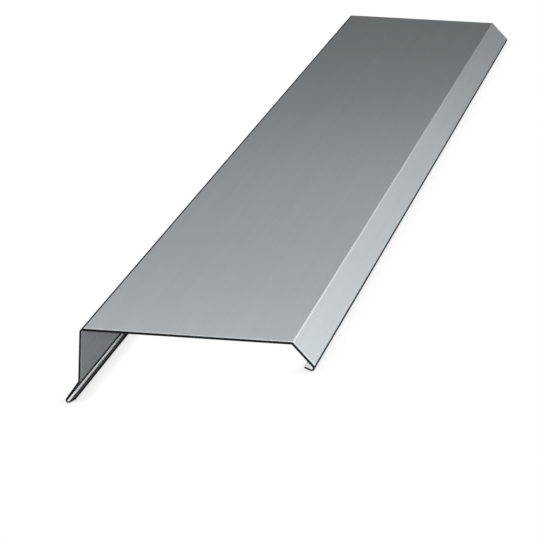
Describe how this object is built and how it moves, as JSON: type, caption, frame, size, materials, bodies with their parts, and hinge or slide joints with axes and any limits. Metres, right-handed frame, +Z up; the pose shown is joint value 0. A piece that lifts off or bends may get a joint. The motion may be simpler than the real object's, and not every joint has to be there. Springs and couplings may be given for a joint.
{
  "type": "fascia flashing",
  "caption": "Long folded sheet-metal fascia flashing with a broad flat face, an upright leg with an angled drip edge, a short sloped edge and open hems along its long edges.",
  "frame": {"origin": "on the floor below the middle of the bounding box, half way along the length", "axes": "+Z up with the piece lying as it rests, +Y along the length, +X across the section towards the sloped edge"},
  "size_m": [0.2376, 2, 0.0677],
  "materials": {
    "aluminium_sheet": "satin"
  },
  "bodies": {
    "root": {"flashing_sheet": "aluminium_sheet"}
  },
  "joints": []
}
